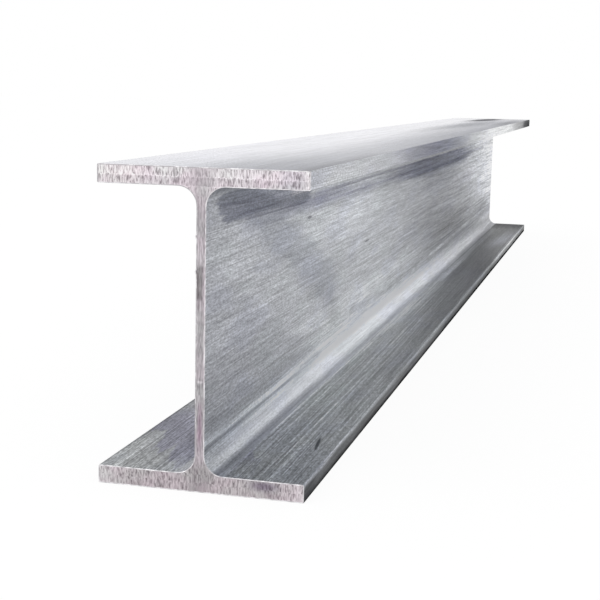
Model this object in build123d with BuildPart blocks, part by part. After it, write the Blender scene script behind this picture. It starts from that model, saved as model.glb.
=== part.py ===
from build123d import *
import os

# A rolled steel I-beam: one piece of wide-flange stock, sawn off square at both ends.
# +Z is up and the length runs along Y. The origin is the middle of the lower flange's
# underside, halfway along the length.

# Sizes of the rolled section, in millimetres
section_depth = 450.0  # from the underside of the lower flange to the top of the upper one
flange_width = 300.0
flange_thickness = 26.0  # the same from the web to the toes, with parallel faces
web_thickness = 14.0
root_radius = 27.0  # the hollow where the web runs into a flange
toe_radius = 2.0  # the slight rounding that rolling leaves on the flanges' long edges

beam_length = 3600.0

with BuildPart() as i_beam:
    with BuildSketch(Plane.XZ) as section:
        # The flanges lie with their outer faces a section depth apart
        with Locations((0, flange_thickness / 2), (0, section_depth - flange_thickness / 2)):
            Rectangle(flange_width, flange_thickness)
        with Locations((0, section_depth / 2)):
            Rectangle(web_thickness, section_depth - flange_thickness)

        # From left to right: the left toes, the web's left and right roots, the right toes
        left_toes, left_roots, right_roots, right_toes = section.vertices().group_by(Axis.X)
        fillet(left_roots + right_roots, radius=root_radius)
        fillet(left_toes + right_toes, radius=toe_radius)
    extrude(amount=beam_length / 2, both=True)

i_beam.part.label = "i_beam"
os.makedirs("parts", exist_ok=True)
export_step(i_beam.part, "parts/i_beam.step")
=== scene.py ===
import math

import bmesh
import bpy
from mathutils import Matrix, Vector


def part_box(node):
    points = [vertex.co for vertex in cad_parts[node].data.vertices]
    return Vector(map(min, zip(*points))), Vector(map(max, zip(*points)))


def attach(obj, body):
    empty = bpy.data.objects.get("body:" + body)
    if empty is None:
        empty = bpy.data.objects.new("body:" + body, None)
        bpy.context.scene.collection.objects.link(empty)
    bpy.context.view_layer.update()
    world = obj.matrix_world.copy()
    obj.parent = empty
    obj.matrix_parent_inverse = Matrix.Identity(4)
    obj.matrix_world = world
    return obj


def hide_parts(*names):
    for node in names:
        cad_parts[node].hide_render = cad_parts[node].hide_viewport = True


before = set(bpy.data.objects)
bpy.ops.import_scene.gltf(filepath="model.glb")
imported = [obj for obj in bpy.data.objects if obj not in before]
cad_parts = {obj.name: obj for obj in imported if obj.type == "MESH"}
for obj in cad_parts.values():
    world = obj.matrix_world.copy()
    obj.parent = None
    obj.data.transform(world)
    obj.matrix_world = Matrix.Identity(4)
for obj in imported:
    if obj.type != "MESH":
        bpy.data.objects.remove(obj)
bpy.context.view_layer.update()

low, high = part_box("i_beam")
print("frame loaded")


# One length of rolled beam, modelled from a block the size of its web
beamMake = {
    "webThickness": 0.014,
    "flangeThickness": 0.026,
    "rootRadius": 0.027,
    "rootSteps": 10,
    "toeRadius": 0.002,
    "soleRadius": 0.001,  # the two lowest corners are sharper
    "toeSteps": 3,
    "acrossStep": 0.004,  # the mesh's spacing across the flat faces
    "lengthPieces": (6, 10),  # the length is cut into 6, and each of those into 10
    "lipWidths": (0.0005, 0.0010),  # the lip that the saw left round each end: its rise, then its fall
    "lipRise": 0.0004,
    "lipUnevenness": 0.0005,  # how much the lip's crest wanders in and out
    "lipGrain": 0.015,  # how far apart it does so
    "burrReach": 0.002,  # how far the two beads of burr stand off the web's left edge
    "burrHeights": (0.3575, 0.310),
    "smoothAngle": 25,
}


def pick(kind, wanted):  # selects only the faces, edges or verts that pass the test
    mesh = bmesh.from_edit_mesh(bpy.context.edit_object.data)
    bpy.ops.mesh.select_mode(type={"faces": "FACE", "edges": "EDGE", "verts": "VERT"}[kind])
    bpy.ops.mesh.select_all(action="DESELECT")
    for item in getattr(mesh, kind):
        if wanted(item):
            item.select_set(True)
    mesh.select_flush_mode()
    bmesh.update_edit_mesh(bpy.context.edit_object.data)


def near(value, target, reach=1e-5):
    return abs(value - target) < reach


def alongLength(edge):
    a, b = (v.co for v in edge.verts)
    return near(a.x, b.x) and near(a.z, b.z)


def roundToes(radius, atHeight):  # the long corners at the flanges' outer sides
    def wanted(edge):
        place = edge.verts[0].co
        return alongLength(edge) and near(abs(place.x), high.x) and atHeight(place.z)

    pick("edges", wanted)
    bpy.ops.mesh.bevel(offset=radius, segments=beamMake["toeSteps"], affect="EDGES")


def shapeSection(width):
    web, flange = beamMake["webThickness"], beamMake["flangeThickness"]
    pick("faces", lambda f: abs(f.normal.z) > 0.9)
    bpy.ops.mesh.extrude_region_shrink_fatten(TRANSFORM_OT_shrink_fatten={"value": flange})
    webTop, webFoot = high.z - flange, low.z + flange
    pick("faces", lambda f: abs(f.normal.x) > 0.9 and not webFoot < f.calc_center_median().z < webTop)
    bpy.ops.mesh.extrude_region_shrink_fatten(TRANSFORM_OT_shrink_fatten={"value": (width - web) / 2})
    bpy.ops.mesh.select_all(action="SELECT")
    bpy.ops.mesh.dissolve_limited(angle_limit=0.01)  # leaves one face a side, and one for each sawn end
    pick("edges", lambda e: alongLength(e) and near(abs(e.verts[0].co.x), web / 2))
    bpy.ops.mesh.bevel(offset=beamMake["rootRadius"], segments=beamMake["rootSteps"], affect="EDGES")
    roundToes(beamMake["toeRadius"], lambda z: not near(z, low.z))
    roundToes(beamMake["soleRadius"], lambda z: near(z, low.z))
    print("beam: section shaped")


def cutIntoPieces():
    pick("faces", lambda f: abs(f.normal.y) > 0.9)
    bpy.ops.mesh.delete(type="ONLY_FACE")  # the ends are filled again when the sides are divided
    mesh = bmesh.from_edit_mesh(bpy.context.edit_object.data)
    spans = sorted({round(e.calc_length(), 5) for e in mesh.edges if not alongLength(e)})
    for span in spans:  # edges of one length are cut alike, so both ends of a face match
        cuts = round(span / beamMake["acrossStep"]) - 1
        if cuts > 0:
            pick("edges", lambda e: not alongLength(e) and near(e.calc_length(), span))
            bpy.ops.mesh.subdivide(number_cuts=cuts)
    for pieces in beamMake["lengthPieces"]:
        pick("edges", alongLength)
        bpy.ops.mesh.subdivide(number_cuts=pieces - 1)
    for end in (low.y, high.y):
        pick("edges", lambda e: all(near(v.co.y, end) for v in e.verts))
        bpy.ops.mesh.edge_face_add()
    print("beam: faces divided")


def inBead(place, height):  # the lip's points at the web's left edge, round the middle of a bead of burr
    reach = beamMake["burrReach"]
    atEdge = place.y < low.y + reach and -beamMake["webThickness"] < place.x < 0
    return atEdge and near(place.z, height, reach)


def finishEnds():
    rise, fall = beamMake["lipWidths"]
    lipRise = beamMake["lipRise"]
    pick("faces", lambda f: abs(f.normal.y) > 0.9)
    bpy.ops.mesh.inset(thickness=rise, depth=lipRise)
    bpy.ops.mesh.inset(thickness=fall, depth=-lipRise)
    crests = (low.y - lipRise, high.y + lipRise)
    pick("verts", lambda v: any(near(v.co.y, crest, lipRise / 4) for crest in crests))
    bpy.ops.object.vertex_group_add()
    bpy.ops.object.vertex_group_assign()
    for height in beamMake["burrHeights"]:
        pick("verts", lambda v: inBead(v.co, height))
        bpy.ops.transform.translate(value=(-beamMake["burrReach"], 0, 0))
    print("beam: sawn ends lipped")


def roughenLip(beam):
    grain = bpy.data.textures.new("lipGrain", "CLOUDS")
    grain.noise_scale = beamMake["lipGrain"]
    uneven = beam.modifiers.new("unevenLip", "DISPLACE")
    uneven.texture = grain
    uneven.texture_coords = "LOCAL"
    uneven.vertex_group = beam.vertex_groups[0].name
    uneven.strength = beamMake["lipUnevenness"]
    bpy.ops.object.modifier_apply(modifier=uneven.name)
    beam.vertex_groups.clear()


def modelBeam():
    width, length, depth = (b - a for a, b in zip(low, high))
    bpy.ops.object.select_all(action="DESELECT")
    webSize = (beamMake["webThickness"], length, depth - 2 * beamMake["flangeThickness"])
    bpy.ops.mesh.primitive_cube_add(size=1, location=(low + high) / 2, scale=webSize)
    beam = bpy.context.active_object
    beam.name = beam.data.name = "beam"
    bpy.ops.object.transform_apply(location=True, rotation=False, scale=True)
    bpy.ops.object.mode_set(mode="EDIT")
    shapeSection(width)
    cutIntoPieces()
    finishEnds()
    bpy.ops.object.mode_set(mode="OBJECT")
    roughenLip(beam)
    bpy.ops.object.shade_smooth_by_angle(angle=math.radians(beamMake["smoothAngle"]))
    return beam


# Shader nodes
def startMaterial(name):
    material = bpy.data.materials.new(name)
    material.use_nodes = True
    tree = material.node_tree
    return material, tree, tree.nodes["Principled BSDF"]


def addNode(tree, kind, **settings):
    node = tree.nodes.new("ShaderNode" + kind)
    for name, value in settings.items():
        setattr(node, name, value)
    return node


def feed(tree, node, **inputs):  # a socket feeds a link, and anything else is a plain value
    for name, value in inputs.items():
        index = name[2:] if name[:2] == "in" and name[2:].isdigit() else None
        socket = node.inputs[int(index)] if index else node.inputs[name.replace("_", " ")]
        if isinstance(value, bpy.types.NodeSocket):
            tree.links.new(value, socket)
        else:
            socket.default_value = value
    return node


def startGroup(name, inputs, outputs):
    group = bpy.data.node_groups.new(name, "ShaderNodeTree")
    for label, kind, value in inputs:
        socket = group.interface.new_socket(label, in_out="INPUT", socket_type="NodeSocket" + kind)
        socket.default_value = value
    for label, kind in outputs:
        group.interface.new_socket(label, in_out="OUTPUT", socket_type="NodeSocket" + kind)
    return group, group.nodes.new("NodeGroupInput").outputs, group.nodes.new("NodeGroupOutput")


def useGroup(tree, group, **inputs):
    node = tree.nodes.new("ShaderNodeGroup")
    node.node_tree = group
    return feed(tree, node, **inputs).outputs


def objectPlace(tree):
    return addNode(tree, "TexCoord").outputs["Object"]


def parts(tree, vector):
    return feed(tree, addNode(tree, "SeparateXYZ"), Vector=vector).outputs


def joined(tree, x, y, z):
    return feed(tree, addNode(tree, "CombineXYZ"), X=x, Y=y, Z=z).outputs[0]


def sums(tree, operation, a, b=0.0, c=0.0):
    return feed(tree, addNode(tree, "Math", operation=operation), in0=a, in1=b, in2=c).outputs[0]


def vectors(tree, operation, a, b):
    return feed(tree, addNode(tree, "VectorMath", operation=operation), in0=a, in1=b).outputs[0]


def spread(tree, value, start, stop, least=0.0, most=1.0, smooth=False):
    kind = "SMOOTHSTEP" if smooth else "LINEAR"
    node = addNode(tree, "MapRange", interpolation_type=kind)
    return feed(tree, node, Value=value, From_Min=start, From_Max=stop, To_Min=least, To_Max=most).outputs[0]


def blendColours(tree, kind, share, a, b):
    node = addNode(tree, "Mix", data_type="RGBA", blend_type=kind)
    return feed(tree, node, in0=share, in6=a, in7=b).outputs[2]


def ramp(tree, value, stops, ease="EASE"):
    node = addNode(tree, "ValToRGB")
    band = node.color_ramp
    band.interpolation = ease
    while len(band.elements) < len(stops):
        band.elements.new(1.0)
    for element, (place, colour) in zip(band.elements, stops):
        element.position = place
        element.color = (*colour, 1)
    return feed(tree, node, Fac=value).outputs[0]


def brushLinesGroup():  # lines drawn out along the beam, from 0 to 1
    inputs = [(label, "Float", 1.0) for label in ("Fineness", "Run", "Detail", "Shift")]
    group, given, result = startGroup("brushLines", inputs, [("Lines", "Float")])
    stretch = joined(group, given["Fineness"], given["Run"], given["Fineness"])
    drawn = vectors(group, "MULTIPLY", objectPlace(group), stretch)
    moved = vectors(group, "ADD", drawn, joined(group, given["Shift"], given["Shift"], given["Shift"]))
    noise = addNode(group, "TexNoise")
    feed(group, noise, Vector=moved, Scale=1.0, Detail=given["Detail"], Roughness=0.55)
    feed(group, result, Lines=noise.outputs["Fac"])
    return group


wandering = {
    "fineness": (45, 4, 45),
    "reach": (0.012, 0.25, 0.012),
}


def wanderingPlaceGroup():  # the place, shifted a little, so that a shade's edge isn't a clean curve
    group, given, result = startGroup("wanderingPlace", [], [("Place", "Vector")])
    place = objectPlace(group)
    drawn = vectors(group, "MULTIPLY", place, wandering["fineness"])
    noise = feed(group, addNode(group, "TexNoise"), Vector=drawn, Scale=1.0, Detail=3.0, Roughness=0.6)
    centred = vectors(group, "SUBTRACT", noise.outputs["Color"], (0.5, 0.5, 0.5))
    shift = vectors(group, "MULTIPLY", centred, wandering["reach"])
    feed(group, result, Place=vectors(group, "ADD", place, shift))
    return group


def startPatch(name, softnessKind, softness):  # the place inside a patch, counted in its half sizes
    inputs = [(label, "Vector", (0, 0, 0)) for label in ("Where", "Place", "Turn")]
    inputs += [("Size", "Vector", (1, 1, 1)), ("Softness", softnessKind, softness)]
    group, given, result = startGroup(name, inputs, [("Mask", "Float")])
    laid = feed(group, addNode(group, "Mapping", vector_type="TEXTURE"), Vector=given["Where"])
    feed(group, laid, Location=given["Place"], Rotation=given["Turn"], Scale=given["Size"])
    return group, laid.outputs[0], given["Softness"], result


def fallOff(tree, reach, softness):  # 1 inside, falling to 0 where the reach is 1
    start = sums(tree, "SUBTRACT", 1.0, softness)
    return spread(tree, reach, start, 1.0, 1.0, 0.0, smooth=True)


def softPatchGroup():  # an egg-shaped patch
    group, inside, softness, result = startPatch("softPatch", "Float", 1.0)
    reach = feed(group, addNode(group, "VectorMath", operation="LENGTH"), in0=inside).outputs["Value"]
    feed(group, result, Mask=fallOff(group, reach, softness))
    return group


def softBoxGroup():  # a box, with a softness for each way
    group, inside, softness, result = startPatch("softBox", "Vector", (1, 1, 1))
    reach = feed(group, addNode(group, "VectorMath", operation="ABSOLUTE"), in0=inside).outputs[0]
    reaches, softnesses = parts(group, reach), parts(group, softness)
    mask = 1.0
    for way in "XYZ":
        mask = sums(group, "MULTIPLY", fallOff(group, reaches[way], softnesses[way]), mask)
    feed(group, result, Mask=mask)
    return group


sawMarks = {
    "wobbleScale": 120.0,
    "wobble": 0.003,  # how far a row of marks runs up and down
    "rowShift": 7.3,  # so that the marks of one row don't run on in the next
    "seamWidth": 0.0014,
    "short": {"Across": 420.0, "Down": 110.0, "RowHeight": 0.013, "Curl": 0.35},  # on the flanges
    "long": {"Across": 560.0, "Down": 75.0, "RowHeight": 0.5, "Curl": 0.3},  # on the web
}


def sawMarksGroup():  # the marks that the saw's teeth left, in rows across the thickness
    inputs = [(label, "Float", 1.0) for label in ("Across", "Down", "RowHeight", "Curl")]
    group, given, result = startGroup("sawMarks", inputs, [("Marks", "Float"), ("Seam", "Float")])
    place = objectPlace(group)
    split = parts(group, place)
    uneven = feed(group, addNode(group, "TexNoise"), Vector=place, Scale=sawMarks["wobbleScale"], Detail=1.0)
    wobble = spread(group, uneven.outputs["Fac"], 0.0, 1.0, -sawMarks["wobble"], sawMarks["wobble"])
    fromMiddle = sums(group, "ABSOLUTE", sums(group, "SUBTRACT", split["Z"], high.z / 2))
    inFlange = sums(group, "SUBTRACT", fromMiddle, high.z / 2 - beamMake["flangeThickness"])
    height = sums(group, "ADD", inFlange, wobble)
    row = sums(group, "FLOOR", sums(group, "DIVIDE", height, given["RowHeight"]))
    shift = sums(group, "MULTIPLY", row, sawMarks["rowShift"])
    across = sums(group, "MULTIPLY_ADD", split["X"], given["Across"], shift)
    drawn = joined(group, across, split["Y"], sums(group, "MULTIPLY", split["Z"], given["Down"]))
    noise = addNode(group, "TexNoise")
    feed(group, noise, Vector=drawn, Scale=1.0, Detail=2.0, Roughness=0.6, Distortion=given["Curl"])
    fromSeam = sums(group, "PINGPONG", height, sums(group, "MULTIPLY", given["RowHeight"], 0.5))
    seam = spread(group, fromSeam, 0.0, sawMarks["seamWidth"], 1.0, 0.0, smooth=True)
    feed(group, result, Marks=noise.outputs["Fac"], Seam=seam)
    return group


# A patch is: middle, half size, softness, shade, and a turn in degrees where it has one. One number as the
# softness makes it an egg and three make it a box. A shade is one number for grey or three for a colour.
def patchMask(tree, groups, where, middle, size, softness, turn=(0, 0, 0)):
    group = groups["softBox" if isinstance(softness, tuple) else "softPatch"]
    angles = [math.radians(angle) for angle in turn]
    return useGroup(tree, group, Where=where, Place=middle, Size=size, Turn=angles, Softness=softness)["Mask"]


def dimmed(tree, value, mask, amount):
    return sums(tree, "MULTIPLY", value, spread(tree, mask, 0.0, 1.0, 1.0, 1.0 - amount))


def layPatches(tree, groups, coat, where, look, kind):  # each lightens, darkens or tints what is under it
    colour, metal = coat
    for name, (middle, size, softness, shade, *turn) in look.get(kind, {}).items():
        mask = patchMask(tree, groups, where, middle, size, softness, *turn)
        shade = shade if isinstance(shade, tuple) else (shade, shade, shade)
        colour = blendColours(tree, "MULTIPLY", mask, colour, (*shade, 1))
        if name in look.get("oxide", {}):  # the patch shines less like metal there too: dark mill scale on some faces, while on others this deepens painted shade
            metal = dimmed(tree, metal, mask, look["oxide"][name])
    return colour, metal


# The rolled faces
rolling = {
    "noiseSpan": (0.25, 0.75),
    "scratchRise": 0.08,  # noise above its least at which a scratch is full
    "tintLines": {"Fineness": 17.0, "Run": 4.5, "Detail": 2.0, "Shift": 17.0},
    "tints": (
        (0.36, (0.98, 1.0, 0.985)),
        (0.5, (1.0, 1.0, 1.0)),
        (0.64, (0.975, 0.985, 1.035)),
    ),
    "fineLines": {"Fineness": 650.0, "Run": 16.0, "Detail": 2.0, "Shift": 31.0},
    "fineSpan": (0.3, 0.7),
    "fineDepth": 0.0004,
    "anisotropy": 0.6,
}


def shadeBy(tree, colour, drawn, along, still, ends):  # the lines' strength at the near and at the far end
    share = sums(tree, "MULTIPLY", spread(tree, along, low.y, high.y, *ends), still)
    return blendColours(tree, "MULTIPLY", 1.0, colour, sums(tree, "MULTIPLY_ADD", drawn, share, 1.0))


def brushed(tree, groups, coat, along, still, look):  # lines all over, and scratches where the noise is high
    colour, metal = coat
    for fineness, run, detail, shift, *ends in look["lines"].values():
        lines = useGroup(tree, groups["brushLines"], Fineness=fineness, Run=run, Detail=detail, Shift=shift)
        drawn = spread(tree, lines["Lines"], *rolling["noiseSpan"], -1.0, 1.0)
        colour = shadeBy(tree, colour, drawn, along, still, ends)
    for fineness, run, shift, least, *ends, farOxide in look.get("scratches", {}).values():
        lines = useGroup(tree, groups["brushLines"], Fineness=fineness, Run=run, Detail=0.0, Shift=shift)
        drawn = spread(tree, lines["Lines"], least, least + rolling["scratchRise"])
        colour = shadeBy(tree, colour, drawn, along, still, ends)
        if farOxide:
            share = sums(tree, "MULTIPLY", spread(tree, along, low.y, high.y, 0.0, farOxide), still)
            scale = sums(tree, "MULTIPLY", drawn, share)
            metal = sums(tree, "MULTIPLY", metal, sums(tree, "SUBTRACT", 1.0, scale))
    return colour, metal


lightBrushing = {  # fineness across and along, detail, shift, strength at the near and at the far end
    "grain": (480.0, 120.0, 0.0, 40.0, 0.30, 0.0),
    "farGrain": (230.0, 30.0, 0.0, 42.0, 0.0, 0.18),
    "hair": (620.0, 8.0, 1.0, 0.0, 0.34, 0.28),
    "fine": (300.0, 4.0, 1.0, 3.0, 0.14, 0.24),
    "middle": (120.0, 2.0, 1.0, 4.0, 0.08, 0.22),
    "broad": (36.0, 1.4, 2.0, 8.0, 0.12, 0.18),
}


def rolledSteel(groups, name, look, colourOf):
    material, tree, shader = startMaterial(name)
    where = useGroup(tree, groups["wanderingPlace"])["Place"]
    place = objectPlace(tree)
    along = parts(tree, place)["Y"]
    still = 1.0
    for middle, size, softness, amount in look.get("calm", {}).values():  # where the brushing is weaker
        still = dimmed(tree, still, patchMask(tree, groups, place, middle, size, softness), amount)
    hue = useGroup(tree, groups["brushLines"], **rolling["tintLines"])["Lines"]
    tint = ramp(tree, hue, rolling["tints"])
    colour = blendColours(tree, "MULTIPLY", look["tintShare"], colourOf(tree, look, where), tint)
    coat = layPatches(tree, groups, (colour, 1.0), where, look, "shades")
    coat = brushed(tree, groups, coat, along, still, look)
    colour, metal = layPatches(tree, groups, coat, place, look, "marks")
    fine = useGroup(tree, groups["brushLines"], **rolling["fineLines"])["Lines"]
    rough = spread(tree, fine, *rolling["fineSpan"], *look["roughness"])
    for middle, size, softness, extra in look.get("dull", {}).values():  # places that shine less
        mask = patchMask(tree, groups, where, middle, size, softness)
        rough = sums(tree, "MULTIPLY_ADD", mask, extra, rough)
    height = sums(tree, "MULTIPLY", fine, still)
    bump = feed(tree, addNode(tree, "Bump"), Strength=look["bump"], Distance=rolling["fineDepth"])
    normal = feed(tree, bump, Height=height).outputs[0]
    across = vectors(tree, "CROSS_PRODUCT", addNode(tree, "NewGeometry").outputs["Normal"], (0, 1, 0))
    feed(tree, shader, Base_Color=colour, Metallic=metal, Roughness=rough, Normal=normal, Tangent=across)
    feed(tree, shader, Specular_Tint=look["slantShine"], Specular_IOR_Level=0.0)
    feed(tree, shader, Anisotropic=rolling["anisotropy"])
    return material


def alongColour(tree, look, where):
    return ramp(tree, spread(tree, parts(tree, where)["Y"], low.y, high.y), look["along"], "B_SPLINE")


def turnedAlong(tree, split):  # the place along, which the left side counts from the other end
    return sums(tree, "MULTIPLY", split["Y"], sums(tree, "SIGN", split["X"]))


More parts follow.
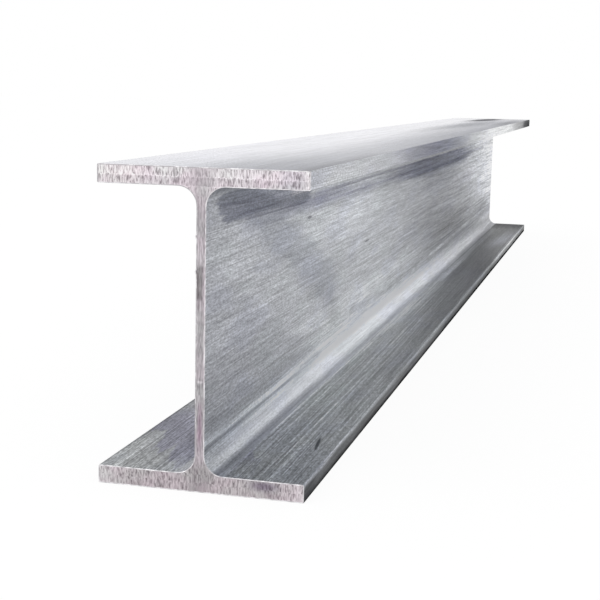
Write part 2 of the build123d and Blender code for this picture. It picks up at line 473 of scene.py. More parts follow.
webLook = {
    "roughness": (0.36, 0.46),
    "bump": 0.3,
    "slantShine": (0.85, 0.85, 0.87, 1),
    "lean": 2.0,  # the shades along the web lean back: as far along for each metre of height
    "leanFrom": 0.36,
    "span": (-2.6, 1.8),
    "along": (
        (0.03, (0.37, 0.38, 0.41)),
        (0.17, (0.45, 0.46, 0.49)),
        (0.24, (0.44, 0.452, 0.474)),
        (0.34, (0.53, 0.546, 0.570)),
        (0.46, (0.44, 0.455, 0.475)),
        (0.60, (0.23, 0.24, 0.26)),
        (0.72, (0.26, 0.27, 0.285)),
        (0.81, (0.455, 0.47, 0.495)),
        (0.90, (0.88, 0.905, 0.94)),
        (0.98, (0.97, 0.99, 1.0)),
    ),
    "rootHeights": (0.1, 0.055),  # from the web's shades to those of the hollow under it, which are painted lighter: painted highlight along the hollow
    "hollowTonesWithHighlight": (
        (0.03, (0.52, 0.54, 0.57)),
        (0.25, (0.8, 0.82, 0.85)),
        (0.50, (0.74, 0.76, 0.79)),
        (0.72, (0.52, 0.53, 0.545)),
        (0.97, (0.42, 0.43, 0.445)),
    ),
    "tintShare": 0.65,
    "lines": {
        "grain": (480.0, 130.0, 0.0, 40.0, 0.26, 0.0),
        "farGrain": (230.0, 30.0, 0.0, 42.0, 0.0, 0.25),
        "hair": (560.0, 9.0, 1.0, 0.0, 0.15, 0.22),
        "fine": (280.0, 4.5, 1.0, 3.0, 0.06, 0.22),
        "middle": (110.0, 2.2, 1.0, 4.0, 0.05, 0.24),
        "broad": (36.0, 1.3, 2.0, 8.0, 0.08, 0.20),
    },
    "scratches": {  # fineness across and along, shift, least noise, strength at each end, scale far off
        "darkDashes": (520.0, 9.0, 21.0, 0.57, -0.23, -0.12, 0.0),
        "paleDashes": (520.0, 8.0, 33.0, 0.58, 0.14, 0.12, 0.0),
        "darkLines": (170.0, 1.6, 23.0, 0.58, -0.06, -0.28, 0.28),
        "paleLines": (150.0, 1.4, 25.0, 0.60, 0.04, 0.20, 0.0),
    },
    "calm": {
        "hollow": ((0.02, 0.15, 0.045), (0.03, 2.1, 0.050), (0.3, 0.2, 0.9), 0.50),
    },
    "oxide": {  # how much less a patch shines like metal
        # the reflection band and the flange's shadow shine less, which deepens their painted shade
        "reflectionBand": 0.60,
        "reflectionBandLow": 0.30,
        "reflectionBandNear": 0.20,
        "flangeShadow": 0.45,
        "reflectionLine": 0.4,
        "reflectionLineLow": 0.3,
        "reflectionLineFar": 0.4,
        "browned": 0.3,
        "midDark": 0.25,
        "midShade": 0.15,
        "farFoot": 0.3,
    },
    "shades": {
        # painted reflection: the dark band along the upper web stands in for the flange's dark underside
        # mirrored in it
        "reflectionBand": ((0.01, 0.34, 0.352), (0.04, 0.95, 0.0235), (0.5, 0.6, 0.35), (0.55, 0.565, 0.67)),
        "reflectionBandLow": ((0.01, 0.42, 0.33), (0.04, 0.7, 0.018), (0.5, 0.5, 0.9), (0.655, 0.67, 0.74)),
        "reflectionBandNear": ((0.01, -0.75, 0.352), (0.04, 0.75, 0.017), (0.5, 0.4, 0.5), (0.9, 0.9, 0.94)),
        # painted shadow: the upper flange's shadow on the web near the end; a lighter slanted strip gives it
        # its slanted edge, and softer shade lies below and behind it
        "flangeShadow": (
            (0.01, -1.485, 0.387), (0.04, 0.265, 0.0275), (0.5, 0.12, 0.3), (0.51, 0.52, 0.58), (-0.8, 0, 0),
        ),
        "wedgeEdge": (
            (0.01, -1.455, 0.3925), (0.04, 0.2, 0.006), (0.5, 0.4, 0.8), (1.4, 1.38, 1.36), (-4.6, 0, 0),
        ),
        "wedgeBelow": ((0.01, -1.24, 0.359), (0.04, 0.2, 0.0085), (0.5, 0.4, 0.6), (0.77, 0.77, 0.81)),
        "wedgeUnder": ((0.01, -1.28, 0.354), (0.04, 0.44, 0.013), (0.5, 0.5, 0.8), (0.8, 0.805, 0.84)),
        "greyLine": ((0.01, -1.1, 0.14), (0.04, 0.15, 0.02), 1.0, 0.86),
        "cleanMid": ((0.01, -0.8, 0.184), (0.04, 0.52, 0.026), 1.0, (1.14, 1.14, 1.13)),
        # painted shadow: the far tail of the upper flange's shadow on the web
        "wedgeTail": ((0.01, -1.08, 0.366), (0.04, 0.2, 0.009), (0.5, 0.5, 0.5), (0.8, 0.8, 0.86)),
        "cleanUnder": ((0.01, -0.88, 0.302), (0.04, 0.7, 0.058), 1.0, (1.34, 1.34, 1.33)),
        "cleanLow": ((0.01, -0.92, 0.112), (0.04, 0.56, 0.066), 1.0, (1.32, 1.32, 1.3)),
        "midShade": ((0.01, 0.2, 0.195), (0.04, 0.58, 0.095), 1.0, (0.74, 0.74, 0.75)),
        "browned": ((0.01, 0.65, 0.143), (0.04, 0.8, 0.072), 1.0, (0.67, 0.665, 0.65)),
        "midDark": ((0.01, 0.42, 0.3), (0.04, 0.6, 0.06), 1.0, (0.855, 0.86, 0.895)),
        # painted light and painted shadow: a lighter diagonal strip and a darker one beside it, the edge of
        # the light that passes the flange's end
        "swath": (
            (0.01, -1.385, 0.205), (0.04, 0.05, 0.44), (0.5, 0.3, 0.3), (1.14, 1.14, 1.13), (68.5, 0, 0),
        ),
        "afterSwath": (
            (0.01, -1.325, 0.29), (0.04, 0.05, 0.42), (0.5, 0.5, 0.4), (0.81, 0.822, 0.85), (68.5, 0, 0),
        ),
        # painted highlight: the lower web and the hollow under it are painted lighter, with a darker strip
        # between, standing in for the light the curved hollow catches
        "lowerWeb": ((0.01, -0.55, 0.11), (0.04, 1.45, 0.075), 1.0, (1.42, 1.42, 1.4)),
        "rootLight": ((0.008, -0.1, 0.053), (0.02, 1.75, 0.026), (0.3, 0.3, 0.85), 1.35),
        "rootBright": ((0.008, -0.55, 0.056), (0.02, 0.7, 0.009), (0.3, 0.6, 0.8), 1.3),
        "rootFlat": ((0.01, -0.1, 0.0405), (0.02, 1.5, 0.008), (0.3, 0.5, 0.8), 0.85),
        "paleStreaks": ((0.01, 0.95, 0.27), (0.04, 0.5, 0.035), 1.0, (1.15, 1.13, 1.16)),
        "farFoot": ((0.01, 1.5, 0.115), (0.04, 0.65, 0.048), 1.0, (0.58, 0.58, 0.59)),
        "farFootLow": ((0.01, 1.66, 0.088), (0.04, 0.4, 0.026), 1.0, (0.62, 0.62, 0.63)),
    },
    "marks": {
        # painted reflection: dark lines within the band that stands in for the flange's mirrored underside
        "reflectionLine": ((0.007, -0.15, 0.3695), (0.02, 1.35, 0.004), (0.5, 0.5, 0.6), (0.74, 0.73, 0.78)),
        "reflectionLineLow": ((0.007, -0.45, 0.3505), (0.02, 0.95, 0.003), (0.5, 0.5, 0.6), (0.76, 0.75, 0.8)),
        "reflectionLineFar": ((0.007, 1.14, 0.35), (0.02, 0.42, 0.0055), (0.5, 0.5, 0.7), (0.66, 0.66, 0.71)),
        # painted shadow: dark lines within the upper flange's painted shadow, and lighter spots in it
        "wedgeLine": (
            (0.007, -1.44, 0.362), (0.02, 0.21, 0.0022), (0.5, 0.3, 0.5), (0.62, 0.62, 0.68), (-0.6, 0, 0),
        ),
        "wedgeLineMid": ((0.007, -1.55, 0.3735), (0.02, 0.13, 0.0022), (0.5, 0.5, 0.5), (0.72, 0.72, 0.76)),
        "wedgeLineHigh": (
            (0.007, -1.66, 0.3915), (0.02, 0.1, 0.003), (0.5, 0.5, 0.5), (0.72, 0.72, 0.76), (-2, 0, 0),
        ),
        "wedgePale": ((0.007, -1.5, 0.3835), (0.02, 0.13, 0.0022), (0.5, 0.5, 0.5), (1.22, 1.21, 1.22)),
        "wedgeBrown": ((0.007, -1.31, 0.382), (0.02, 0.07, 0.006), (0.5, 0.6, 0.6), (1.22, 1.16, 1.1)),
        # painted highlight and painted reflection: bright and dark bands along the hollow near the end
        "nearLight": ((0.007, -1.62, 0.069), (0.02, 0.44, 0.006), (0.5, 0.5, 0.6), (1.5, 1.5, 1.49)),
        "nearDark": ((0.007, -1.62, 0.061), (0.02, 0.45, 0.0035), (0.5, 0.5, 0.7), (0.68, 0.68, 0.7)),
        "nearBand": ((0.007, -1.66, 0.0515), (0.02, 0.4, 0.004), (0.5, 0.6, 0.8), (1.32, 1.32, 1.31)),
        "nearHollow": ((0.007, -1.6, 0.0415), (0.02, 0.45, 0.006), (0.5, 0.5, 0.6), (0.82, 0.82, 0.83)),
        "footLight": ((0.007, -1.12, 0.0765), (0.02, 0.36, 0.0065), (0.5, 0.5, 0.6), (1.35, 1.35, 1.34)),
        "rubLine": (
            (0.007, 0.65, 0.093), (0.02, 0.52, 0.0075), (0.5, 0.4, 0.6), (1.65, 1.65, 1.63), (0.8, 0, 0),
        ),
        "rubFar": (
            (0.007, 1.28, 0.103), (0.02, 0.42, 0.0065), (0.5, 0.5, 0.6), (1.45, 1.45, 1.43), (0.4, 0, 0),
        ),
        "rubStart": ((0.007, 0.215, 0.091), (0.02, 0.045, 0.005), 0.7, (1.4, 1.4, 1.38)),
        "rubUnder": (
            (0.007, 0.9, 0.0815), (0.02, 0.62, 0.0045), (0.5, 0.4, 0.7), (0.82, 0.82, 0.84), (0.5, 0, 0),
        ),
        # painted shade: a dark line in the crease where the hollow meets the lower flange
        "rootDark": ((0.029, 0.0, 0.0265), (0.006, 1.9, 0.0035), (0.6, 0.1, 0.6), (0.82, 0.82, 0.83)),
        "rootDarkFar": ((0.028, 1.25, 0.0265), (0.012, 0.7, 0.005), (0.5, 0.4, 0.6), (0.66, 0.66, 0.67)),
        "rootDarkNear": ((0.0235, -1.6, 0.0285), (0.006, 0.42, 0.004), (0.6, 0.5, 0.6), (0.74, 0.74, 0.76)),
        "speckOne": ((0.007, -1.232, 0.331), (0.02, 0.02, 0.0034), 0.5, (0.3, 0.3, 0.32)),
        "speckTwo": ((0.007, -0.715, 0.232), (0.02, 0.032, 0.0028), 0.5, (0.4, 0.4, 0.41)),
    },
}


def webColour(tree, look, where):
    split = parts(tree, where)
    along = turnedAlong(tree, split)
    leaning = sums(tree, "MULTIPLY_ADD", split["Z"], look["lean"], -look["lean"] * look["leanFrom"])
    shades = spread(tree, sums(tree, "ADD", along, leaning), *look["span"])
    whole = ramp(tree, shades, look["along"], "B_SPLINE")
    root = ramp(tree, spread(tree, along, low.y, high.y), look["hollowTonesWithHighlight"], "B_SPLINE")
    share = spread(tree, split["Z"], *look["rootHeights"], smooth=True)
    return blendColours(tree, "MIX", share, whole, root)


flangeLook = {
    "roughness": (0.38, 0.50),
    "bump": 0.35,
    "slantShine": (0.7, 0.7, 0.7, 1),
    # painted shade: the tones fall dark towards the far end, standing in for the darker surroundings the
    # flange mirrors there
    "along": (
        (0.03, (0.5, 0.517, 0.53)),
        (0.16, (0.68, 0.70, 0.713)),
        (0.30, (0.65, 0.668, 0.68)),
        (0.48, (0.42, 0.43, 0.45)),
        (0.62, (0.2, 0.205, 0.22)),
        (0.80, (0.165, 0.17, 0.18)),
        (0.97, (0.09, 0.095, 0.1)),
    ),
    "tintShare": 0.65,
    "lines": {
        "grain": (480.0, 130.0, 0.0, 40.0, 0.32, 0.0),
        "farGrain": (230.0, 34.0, 0.0, 42.0, 0.0, 0.20),
        "hair": (520.0, 4.5, 1.0, 0.0, 0.24, 0.20),
        "fine": (280.0, 2.6, 1.0, 3.0, 0.12, 0.15),
        "middle": (120.0, 1.5, 1.0, 4.0, 0.08, 0.15),
        "broad": (36.0, 1.2, 2.0, 8.0, 0.07, 0.14),
    },
    "scratches": {
        "paleLines": (330.0, 1.2, 27.0, 0.60, 0.36, 0.0, 0.0),
        "darkDashes": (460.0, 6.0, 29.0, 0.57, -0.28, 0.0, 0.0),
    },
    "oxide": {"outerDark": 0.25, "farEnd": 0.4, "edgeLine": 0.5},
    "shades": {
        "byRoot": ((0.044, 0.08, 0.026), (0.034, 1.05, 0.03), 1.0, (1.98, 2.0, 1.96)),
        "nearRoot": ((0.085, -1.35, 0.026), (0.05, 0.55, 0.03), 1.0, (0.76, 0.765, 0.773)),
        "rootShade": ((0.046, -1.12, 0.026), (0.013, 0.45, 0.03), 1.0, (0.72, 0.735, 0.735)),
        "rootFar": ((0.047, 0.9, 0.026), (0.017, 0.9, 0.03), (0.8, 0.5, 0.5), 1.85),
        "outerDark": ((0.14, -0.32, 0.026), (0.06, 1.35, 0.03), (0.9, 0.5, 0.5), (0.62, 0.62, 0.63)),
        "middleDark": ((0.1, 0.78, 0.026), (0.036, 0.6, 0.03), 1.0, (0.78, 0.78, 0.79)),
        "farPatch": ((0.117, 1.23, 0.026), (0.044, 0.39, 0.03), 1.0, (2.5, 2.5, 2.68), (0, 0, -3)),
        "farEnd": ((0.1, 1.8, 0.026), (0.12, 0.27, 0.03), (0.3, 0.8, 0.5), (0.6, 0.6, 0.62)),
        "farOuter": ((0.148, 1.45, 0.026), (0.028, 0.36, 0.03), 1.0, (0.7, 0.7, 0.72)),
        "leftNear": ((-0.09, -1.38, 0.026), (0.12, 0.56, 0.03), 0.5, (0.7, 0.69, 0.71)),
        "leftEnd": (
            (-0.085, -1.79, 0.026), (0.06, 0.14, 0.03), (0.3, 0.4, 0.5), (1.12, 1.12, 1.1), (0, 0, 12),
        ),
        "leftRoot": ((-0.062, 1.05, 0.026), (0.032, 0.65, 0.03), 1.0, 1.35),
        # painted shade: a violet-grey patch beside the web near the end, standing in for the web's shade on
        # the left flange
        "violetShade": (
            (-0.064, -1.615, 0.026), (0.0625, 0.22, 0.03), (0.12, 0.6, 0.5), (0.76, 0.745, 0.86), (0, 0, 29),
        ),
        "violetRoot": ((-0.062, -1.52, 0.026), (0.018, 0.12, 0.03), 0.6, (0.74, 0.72, 0.8)),
    },
    "marks": {
        "streakA": (
            (0.091, -1.38, 0.026), (0.0024, 0.42, 0.01), (0.8, 0.5, 0.5), (1.34, 1.34, 1.33), (0, 0, -0.4),
        ),
        "streakB": (
            (0.125, -1.3, 0.026), (0.0022, 0.3, 0.01), (0.8, 0.5, 0.5), (1.3, 1.3, 1.29), (0, 0, -0.5),
        ),
        "streakC": ((0.072, -1.22, 0.026), (0.002, 0.24, 0.01), (0.8, 0.5, 0.5), 1.26),
        "streakD": ((0.052, -1.45, 0.026), (0.0022, 0.32, 0.01), (0.8, 0.5, 0.5), 1.28),
        "rootStreak": ((0.0335, -1.62, 0.026), (0.003, 0.4, 0.01), (0.8, 0.5, 0.5), (1.35, 1.35, 1.34)),
        "underStreak": ((0.0385, -1.58, 0.026), (0.003, 0.42, 0.01), (0.8, 0.5, 0.5), (0.76, 0.76, 0.77)),
        "streakE": ((0.0375, -0.85, 0.026), (0.0024, 0.8, 0.01), (0.8, 0.4, 0.5), (1.2, 1.2, 1.19)),
        # painted highlight: a light line along the rounded toe edge
        "toeLine": ((0.1445, 1.25, 0.026), (0.003, 0.65, 0.01), (0.7, 0.4, 0.5), 2.0),
        "edgeLine": ((-0.1475, -1.2, 0.026), (0.0022, 0.7, 0.01), (0.6, 0.3, 0.5), (0.5, 0.5, 0.52)),
        "scratch": ((0.1195, -1.6, 0.026), (0.0032, 0.045, 0.01), 0.5, (0.16, 0.17, 0.19), (0, 0, 7)),
    },
}


# The upper flange's underside and the sole, which lie in shade
undersideLook = {
    "roughness": (0.38, 0.48),
    "bump": 0.3,
    "slantShine": (0.9, 0.9, 0.9, 1),
    "along": (
        (0.0, (0.52, 0.53, 0.55)),
        (0.4, (0.44, 0.45, 0.48)),
        (0.7, (0.5, 0.51, 0.53)),
        (1.0, (0.47, 0.48, 0.5)),
    ),
    "tintShare": 1.0,
    "lines": lightBrushing,
    "shades": {
        "underLeft": ((-0.1, 0.5, 0.424), (0.06, 0.9, 0.02), 1.0, (0.85, 0.85, 0.88)),
        "underRight": ((0.1, -0.6, 0.424), (0.06, 0.9, 0.02), 1.0, (0.88, 0.88, 0.91)),
        "soleRub": ((0.02, -1.1, 0.0), (0.16, 0.1, 0.02), 0.8, (1.25, 1.24, 1.22), (0, 0, 3)),
        "soleRubFar": ((-0.02, 1.0, 0.0), (0.16, 0.12, 0.02), 0.8, (1.22, 1.21, 1.19), (0, 0, -4)),
        "soleStain": ((0.03, 0.1, 0.0), (0.09, 0.7, 0.02), 1.0, (0.66, 0.66, 0.68)),
    },
    "marks": {
        "soleScratch": ((-0.05, -0.4, 0.0), (0.002, 0.2, 0.01), 0.6, 1.3, (0, 0, 5)),
    },
}


upperToeLook = {
    "roughness": (0.30, 0.38),
    "bump": 0.3,
    "slantShine": (0.93, 0.93, 0.94, 1),
    "along": (
        (0.03, (0.46, 0.47, 0.49)),
        (0.12, (0.43, 0.44, 0.465)),
        (0.24, (0.195, 0.198, 0.255)),
        (0.36, (0.185, 0.195, 0.245)),
        (0.48, (0.265, 0.28, 0.31)),
        (0.60, (0.95, 0.96, 0.97)),
        (0.78, (0.9, 0.91, 0.92)),
        (0.845, (0.16, 0.165, 0.175)),
        (0.97, (0.03, 0.032, 0.035)),
    ),
    "dull": {
        "violet": ((0.15, -0.70, 0.437), (0.03, 0.65, 0.05), 1.0, 0.25),
        "farEnd": ((0.15, 1.85, 0.437), (0.03, 0.45, 0.05), 0.8, 0.30),
    },
    "tintShare": 1.0,
    "lines": lightBrushing,
    "oxide": {"violetPart": 0.3, "lastPart": 0.6},
    "shades": {
        "violetPart": ((0.15, -0.62, 0.437), (0.03, 0.55, 0.05), 1.0, 1.0),
        "lastPart": ((0.15, 1.64, 0.434), (0.03, 0.3, 0.04), 0.7, (0.75, 0.75, 0.76)),
        "lastLight": ((0.15, 1.7, 0.4445), (0.03, 0.1, 0.008), (0.5, 0.5, 0.6), 1.7),
        "lastDark": ((0.15, 1.44, 0.43), (0.03, 0.2, 0.007), (0.5, 0.5, 0.6), (0.62, 0.62, 0.66)),
    },
    "marks": {
        "greyStart": ((0.15, -1.78, 0.44), (0.02, 0.08, 0.02), 0.8, (0.85, 0.85, 0.87)),
    },
}

lowerToeLook = {
    "roughness": (0.42, 0.52),
    "bump": 0.3,
    "slantShine": (0.65, 0.65, 0.65, 1),
    # painted shade: the lower toes are dark along their whole length, standing in for the shade near the
    # floor that they mirror
    "along": (
        (0.03, (0.125, 0.13, 0.14)),
        (0.30, (0.105, 0.11, 0.115)),
        (0.52, (0.062, 0.065, 0.069)),
        (0.64, (0.075, 0.079, 0.083)),
        (0.73, (0.24, 0.245, 0.25)),
        (0.90, (0.175, 0.18, 0.185)),
        (0.98, (0.115, 0.12, 0.125)),
    ),
    "tintShare": 1.0,
    "lines": lightBrushing,
    # these shine less, which deepens the toe's painted shade
    "oxide": {"middle": 0.40, "footShade": 0.45, "darkFootShade": 0.90, "footShadeLine": 0.90},
    "shades": {
        # painted highlight: a light line along each toe's rounded upper edge
        "paleEdge": ((0.15, 0.0, 0.027), (0.02, 2.6, 0.015), 0.8, 4.2),
        "paleEdgeNear": ((0.15, -1.75, 0.027), (0.02, 0.6, 0.013), 0.8, 1.9),
        "paleEdgeFar": ((0.15, 1.45, 0.027), (0.02, 0.55, 0.013), 0.8, 1.8),
        "paleEdgeLeft": ((-0.15, 0.0, 0.026), (0.02, 2.6, 0.01), 0.8, 3.0),
        # painted shade: the toe's middle shines less and it darkens towards the sole, next to the floor
        "middle": ((0.15, 0.0, 0.013), (0.02, 1.2, 0.05), (0.3, 0.6, 0.5), 1.0),
        "footShade": ((0.15, 0.0, 0.0), (0.02, 2.4, 0.012), (0.3, 0.1, 0.6), 0.22),
        "darkFootShade": ((0.15, 1.22, 0.0), (0.02, 1.3, 0.0115), (0.3, 0.2, 0.5), 0.08),
        "footShadeLine": ((0.15, -0.7, -0.001), (0.02, 1.5, 0.0065), (0.3, 0.2, 0.5), 0.15),
        "nearFoot": ((0.15, -1.81, 0.01), (0.02, 0.1, 0.016), (0.3, 0.8, 0.6), (0.38, 0.38, 0.4)),
    },
}


def toeColour(tree, look, where):
    along = turnedAlong(tree, parts(tree, where))
    return ramp(tree, spread(tree, along, low.y, high.y), look["along"], "B_SPLINE")


topLook = {
    "roughness": (0.13, 0.18),
    "bump": 0.2,
    "slantShine": (0.92, 0.92, 0.955, 1),
    "steel": (0.69, 0.69, 0.72, 1),
    "edgeSteel": (0.21, 0.22, 0.245, 1),
    "reflectionFrom": (-0.09, 0.15),  # painted reflection: the top is painted paler towards the left edge, standing in for the bright surroundings it mirrors at a slant, and it is smoother there too
    "tintShare": 0.3,
    "lines": lightBrushing,
    "oxide": {"smudge": 0.65, "nearGrey": 0.50, "nearEdge": 0.25, "greyMiddle": 0.24, "farRight": 0.35},
    "dull": {
        "rightEdge": ((0.17, 0.2, 0.45), (0.22, 2.8, 0.05), 1.0, 0.26),
        "greyMiddle": ((0.03, 1.0, 0.45), (0.09, 1.0, 0.05), 1.0, 0.22),
        "smudge": ((0.0, 1.56, 0.45), (0.05, 0.33, 0.05), 0.9, 0.30),
    },
    "shades": {
        "greyMiddle": ((0.018, 0.5, 0.45), (0.08, 1.1, 0.03), 1.0, (0.54, 0.55, 0.56), (0, 0, -1.5)),
        "farLeft": ((-0.17, 1.05, 0.45), (0.085, 1.0, 0.03), 0.8, 1.3),
        "smudge": ((0.002, 1.52, 0.45), (0.062, 0.44, 0.03), 0.75, (0.16, 0.16, 0.17), (0, 0, -6)),
        # painted reflection: greyer towards the near end and the right edge, the darker side of the same
        # slanting reflection
        "nearGrey": ((0.05, -1.95, 0.45), (0.26, 0.95, 0.03), 1.0, (0.66, 0.665, 0.69)),
        "nearEdge": ((0.155, -1.8, 0.45), (0.05, 0.75, 0.03), 1.0, (0.5, 0.505, 0.52)),
        "farRight": ((0.125, 1.15, 0.45), (0.06, 0.7, 0.03), 1.0, (0.64, 0.64, 0.66)),
    },
    "marks": {
        "nick": ((0.09, -1.25, 0.45), (0.0025, 0.02, 0.01), 0.6, (0.3, 0.3, 0.32)),
    },
}


def topColour(tree, look, where):
    share = spread(tree, parts(tree, where)["X"], *look["reflectionFrom"], smooth=True)
    return blendColours(tree, "MIX", share, look["steel"], look["edgeSteel"])


# The sawn ends
sawnLook = {
    "flangeTones": (
        (0.32, (0.36, 0.325, 0.345)),
        (0.47, (0.7, 0.655, 0.68)),
        (0.60, (0.92, 0.88, 0.9)),
    ),
    "webTones": (
        (0.32, (0.32, 0.295, 0.315)),
        (0.66, (0.58, 0.555, 0.575)),
    ),
    "tints": (
        (0.38, (0.97, 1.0, 0.985)),
        (0.62, (1.015, 0.97, 1.0)),
    ),
    "tintScale": 26.0,
    "fading": (0.008, 0.020, 0.8, 1.05),  # the marks fade towards the sole: from, to, strength at each
    "flangeFrom": (0.165, 0.192),  # how far from half the depth the web's marks give way to the flange's
    "sideFrom": (0.008, 0.024, 0.5, 1.0),  # the same across, and the share at each
    "seamFrom": (0.41, 0.42),  # only the upper flange shows the ridge between its two rows of marks
    "seamShade": 1.12,
    "bump": 0.4,
    "markDepth": 0.0005,
    "reliefSpan": (0.3, 0.7),
    "roughness": (0.6, 0.42),
    "shades": {
        "greyPatch": ((-0.0025, -1.8, 0.294), (0.006, 0.05, 0.027), (0.5, 0.5, 0.3), (0.62, 0.635, 0.62)),
        "paleHead": ((-0.001, -1.8, 0.34), (0.007, 0.05, 0.05), 0.8, 1.22),
        "mauveFoot": ((0.0, -1.8, 0.095), (0.006, 0.05, 0.045), 0.8, (0.84, 0.69, 0.79)),
        "lowerFlange": ((0.0, -1.8, 0.012), (0.2, 0.05, 0.04), 0.5, (0.68, 0.66, 0.665)),
        "bruise": ((0.093, -1.8, 0.018), (0.034, 0.05, 0.012), 0.9, (0.5, 0.45, 0.54)),
        "bruiseFoot": ((0.102, -1.8, 0.006), (0.016, 0.05, 0.008), 1.0, (0.8, 0.74, 0.78)),
        "lowerRow": ((0.0, -1.8, 0.43), (0.2, 0.05, 0.0065), (0.1, 0.5, 0.3), (0.86, 0.85, 0.86)),
        "paleLeft": ((-0.12, -1.8, 0.437), (0.05, 0.05, 0.03), 0.7, (1.12, 1.12, 1.1)),
        "greyRight": ((0.125, -1.8, 0.437), (0.025, 0.05, 0.03), 0.7, (0.9, 0.92, 0.94)),
        "pinkRight": ((0.065, -1.8, 0.437), (0.035, 0.05, 0.03), 0.8, (1.02, 0.98, 1.01)),
    },
    "marks": {
        "tick": ((0.0, -1.8, 0.157), (0.0065, 0.05, 0.003), 0.8, 1.5),
        "leftStreak": ((-0.0055, -1.8, 0.235), (0.0012, 0.05, 0.04), 0.6, 1.35),
        "rightStreak": ((0.0055, -1.8, 0.225), (0.0016, 0.05, 0.19), 0.8, (1.5, 1.49, 1.5)),
        "brownLeft": ((-0.0048, -1.8, 0.29), (0.0026, 0.05, 0.022), (0.5, 0.5, 0.3), (0.72, 0.7, 0.7)),
        "underTick": ((0.0, -1.8, 0.15), (0.006, 0.05, 0.005), 0.8, (0.84, 0.83, 0.84)),
        "topGlint": ((0.1465, -1.8, 0.445), (0.003, 0.05, 0.007), 0.8, 1.35),
        "lowGlint": ((0.1465, -1.8, 0.428), (0.004, 0.05, 0.003), 0.8, 1.35),
    },
}


def sawnSteel(groups):
    material, tree, shader = startMaterial("sawnSteel")
    place = objectPlace(tree)
    split = parts(tree, place)
    side, height = split["X"], split["Z"]
    short = useGroup(tree, groups["sawMarks"], **sawMarks["short"])
    long = useGroup(tree, groups["sawMarks"], **sawMarks["long"])
    sharpness = spread(tree, height, *sawnLook["fading"])
    centred = sums(tree, "SUBTRACT", short["Marks"], 0.5)
    marks = sums(tree, "MULTIPLY_ADD", centred, sharpness, 0.5)
    inFlange = ramp(tree, marks, sawnLook["flangeTones"], "LINEAR")
    inWeb = ramp(tree, long["Marks"], sawnLook["webTones"], "LINEAR")
    fromMiddle = sums(tree, "ABSOLUTE", sums(tree, "SUBTRACT", height, high.z / 2))
    outOfMiddle = spread(tree, fromMiddle, *sawnLook["flangeFrom"])
    outOfWeb = spread(tree, sums(tree, "ABSOLUTE", side), *sawnLook["sideFrom"])
    share = sums(tree, "MULTIPLY", outOfMiddle, outOfWeb)
    colour = blendColours(tree, "MIX", share, inWeb, inFlange)
    hue = feed(tree, addNode(tree, "TexNoise"), Vector=place, Scale=sawnLook["tintScale"], Detail=2.0)
    tint = ramp(tree, hue.outputs["Fac"], sawnLook["tints"], "LINEAR")
    colour = blendColours(tree, "MULTIPLY", 1.0, colour, tint)
    inUpper = spread(tree, height, *sawnLook["seamFrom"])
    seam = sums(tree, "MULTIPLY", sums(tree, "MULTIPLY", short["Seam"], share), inUpper)
    lit = spread(tree, seam, 0.0, 1.0, 1.0, sawnLook["seamShade"])
    colour = blendColours(tree, "MULTIPLY", 1.0, colour, lit)
    coat = layPatches(tree, groups, (colour, 1.0), place, sawnLook, "shades")
    colour, metal = layPatches(tree, groups, coat, place, sawnLook, "marks")
    mix = addNode(tree, "Mix", data_type="FLOAT")
    relief = feed(tree, mix, in0=share, in2=long["Marks"], in3=marks).outputs[0]
    bump = feed(tree, addNode(tree, "Bump"), Strength=sawnLook["bump"], Distance=sawnLook["markDepth"])
    normal = feed(tree, bump, Height=relief).outputs[0]
    rough = spread(tree, relief, *sawnLook["reliefSpan"], *sawnLook["roughness"])
    feed(tree, shader, Base_Color=colour, Metallic=metal, Roughness=rough, Normal=normal)
    return material


# The lip round the sawn ends and the beads of burr, bright in spots and with a painted highlight on the right
burrLook = {
    "bright": (0.86, 0.84, 0.86, 1),
    "dull": (0.5, 0.48, 0.5, 1),
    "spotScale": 110.0,
    "spots": (0.3, 0.7, -0.7, 0.7),  # from, to, and the share at each
    "highlightBySide": (-0.006, 0.006, -0.2, 0.55),  # painted highlight: brighter on the right
    "byHeight": (0.030, 0.060, 0.5, 0.0),  # the lower flange's lip is bright on both sides
    "beadAcross": -0.008,
    "beadSize": (0.005, 0.01, 0.004),
    "beadSoftness": 0.3,
    "roughness": (0.3, 0.7, 0.5, 0.35),
}


def burrSteel(groups):
    material, tree, shader = startMaterial("burrSteel")
    place = objectPlace(tree)
    split = parts(tree, place)
    noise = feed(tree, addNode(tree, "TexNoise"), Vector=place, Scale=burrLook["spotScale"], Detail=2.0)
    spots = noise.outputs["Fac"]
    highlightBySide = spread(tree, split["X"], *burrLook["highlightBySide"])
    byHeight = spread(tree, split["Z"], *burrLook["byHeight"])
    inSpots = spread(tree, spots, *burrLook["spots"])
    share = sums(tree, "ADD", inSpots, sums(tree, "MAXIMUM", highlightBySide, byHeight))
    for height in beamMake["burrHeights"]:
        middle = (burrLook["beadAcross"], low.y, height)
        bead = patchMask(tree, groups, place, middle, burrLook["beadSize"], burrLook["beadSoftness"])
        share = sums(tree, "ADD", share, bead)
    colour = blendColours(tree, "MIX", share, burrLook["dull"], burrLook["bright"])
    rough = spread(tree, spots, *burrLook["roughness"])
    feed(tree, shader, Base_Color=colour, Metallic=1.0, Roughness=rough)
    return material


# Floor, light and camera
studio = {
    "floorSize": 80.0,
    "floorColour": (1.0, 1.0, 1.0, 1),
    "floorGlow": 0.93,  # how much of the floor's white is its own, which keeps the shadow pale
    "worldStrength": 1.0,
    "softboxPlace": (-2.5, -3.5, 3.5),
    "softboxSize": 3.0,
    "softboxPower": 40.0,
    "cameraPlace": (0.5489, -3.3947, 0.5563),
    "cameraTurn": (80.463, -1.2194, 14.634),
    "cameraLens": 75.7,
}


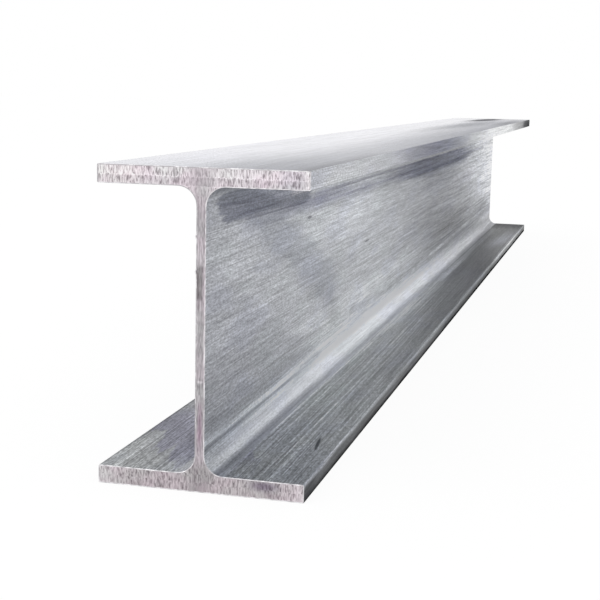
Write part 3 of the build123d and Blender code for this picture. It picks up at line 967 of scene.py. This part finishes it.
def layFloor():
    bpy.ops.mesh.primitive_plane_add(size=studio["floorSize"], location=(0, 0, low.z))
    floor = bpy.context.active_object
    floor.name = "floor"
    material, tree, shader = startMaterial("paleFloor")
    feed(tree, shader, Base_Color=studio["floorColour"], Roughness=1.0, Specular_IOR_Level=0.0)
    glow = feed(tree, addNode(tree, "Emission"), Color=(1, 1, 1, 1), Strength=1.0)
    path = addNode(tree, "LightPath").outputs  # the glow shows where the camera, a reflection or glass looks
    seen = sums(tree, "MAXIMUM", path["Is Camera Ray"], path["Is Glossy Ray"])
    seen = sums(tree, "MAXIMUM", seen, path["Is Transmission Ray"])
    share = sums(tree, "MULTIPLY", seen, studio["floorGlow"])
    mix = feed(tree, addNode(tree, "MixShader"), in0=share, in1=shader.outputs[0], in2=glow.outputs[0])
    tree.links.new(mix.outputs[0], tree.nodes["Material Output"].inputs["Surface"])
    floor.data.materials.append(material)


def lightStudio():
    world = bpy.data.worlds.new("studioWorld")
    bpy.context.scene.world = world
    world.use_nodes = True
    tree = world.node_tree
    feed(tree, tree.nodes["Background"], Color=(1, 1, 1, 1), Strength=studio["worldStrength"])
    bpy.ops.object.light_add(type="AREA", location=studio["softboxPlace"])
    softbox = bpy.context.active_object
    softbox.data.size = studio["softboxSize"]
    softbox.data.energy = studio["softboxPower"]
    toBeam = -softbox.location
    softbox.rotation_euler = toBeam.to_track_quat("-Z", "Y").to_euler()


def placeCamera():
    turn = [math.radians(angle) for angle in studio["cameraTurn"]]
    bpy.ops.object.camera_add(location=studio["cameraPlace"], rotation=turn)
    camera = bpy.context.active_object
    camera.data.lens = studio["cameraLens"]
    bpy.context.scene.camera = camera


def steelOf(face):  # the steel that a face of the beam gets
    middle, outer = face.center, abs(face.center.x)
    upper = middle.z > high.z / 2
    if abs(face.normal.y) > 0.2:  # the end is one face, and its lip is a row of small ones
        return "sawn" if len(face.vertices) > 4 else "burr"
    if outer > high.x - beamMake["toeRadius"]:
        return "upperToe" if upper else "lowerToe"
    if near(middle.z, high.z):
        return "top"
    if near(middle.z, low.z):
        return "underside"
    if outer < beamMake["webThickness"] / 2 + beamMake["rootRadius"]:
        return "web"
    return "underside" if upper else "flange"


def dressBeam(beam):
    groups = {
        "brushLines": brushLinesGroup(),
        "wanderingPlace": wanderingPlaceGroup(),
        "softPatch": softPatchGroup(),
        "softBox": softBoxGroup(),
        "sawMarks": sawMarksGroup(),
    }
    steels = {
        "web": rolledSteel(groups, "webSteel", webLook, webColour),
        "flange": rolledSteel(groups, "flangeSteel", flangeLook, alongColour),
        "underside": rolledSteel(groups, "undersideSteel", undersideLook, alongColour),
        "upperToe": rolledSteel(groups, "upperToeSteel", upperToeLook, toeColour),
        "lowerToe": rolledSteel(groups, "lowerToeSteel", lowerToeLook, toeColour),
        "top": rolledSteel(groups, "topSteel", topLook, topColour),
        "sawn": sawnSteel(groups),
        "burr": burrSteel(groups),
    }
    for steel in steels.values():
        beam.data.materials.append(steel)
    names = list(steels)
    for face in beam.data.polygons:
        face.material_index = names.index(steelOf(face))
    print("beam: materials on")


beam = modelBeam()
dressBeam(beam)
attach(beam, "root")
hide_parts("i_beam")

layFloor()
lightStudio()
placeCamera()
bpy.context.scene.view_settings.view_transform = "Standard"
print("studio ready")
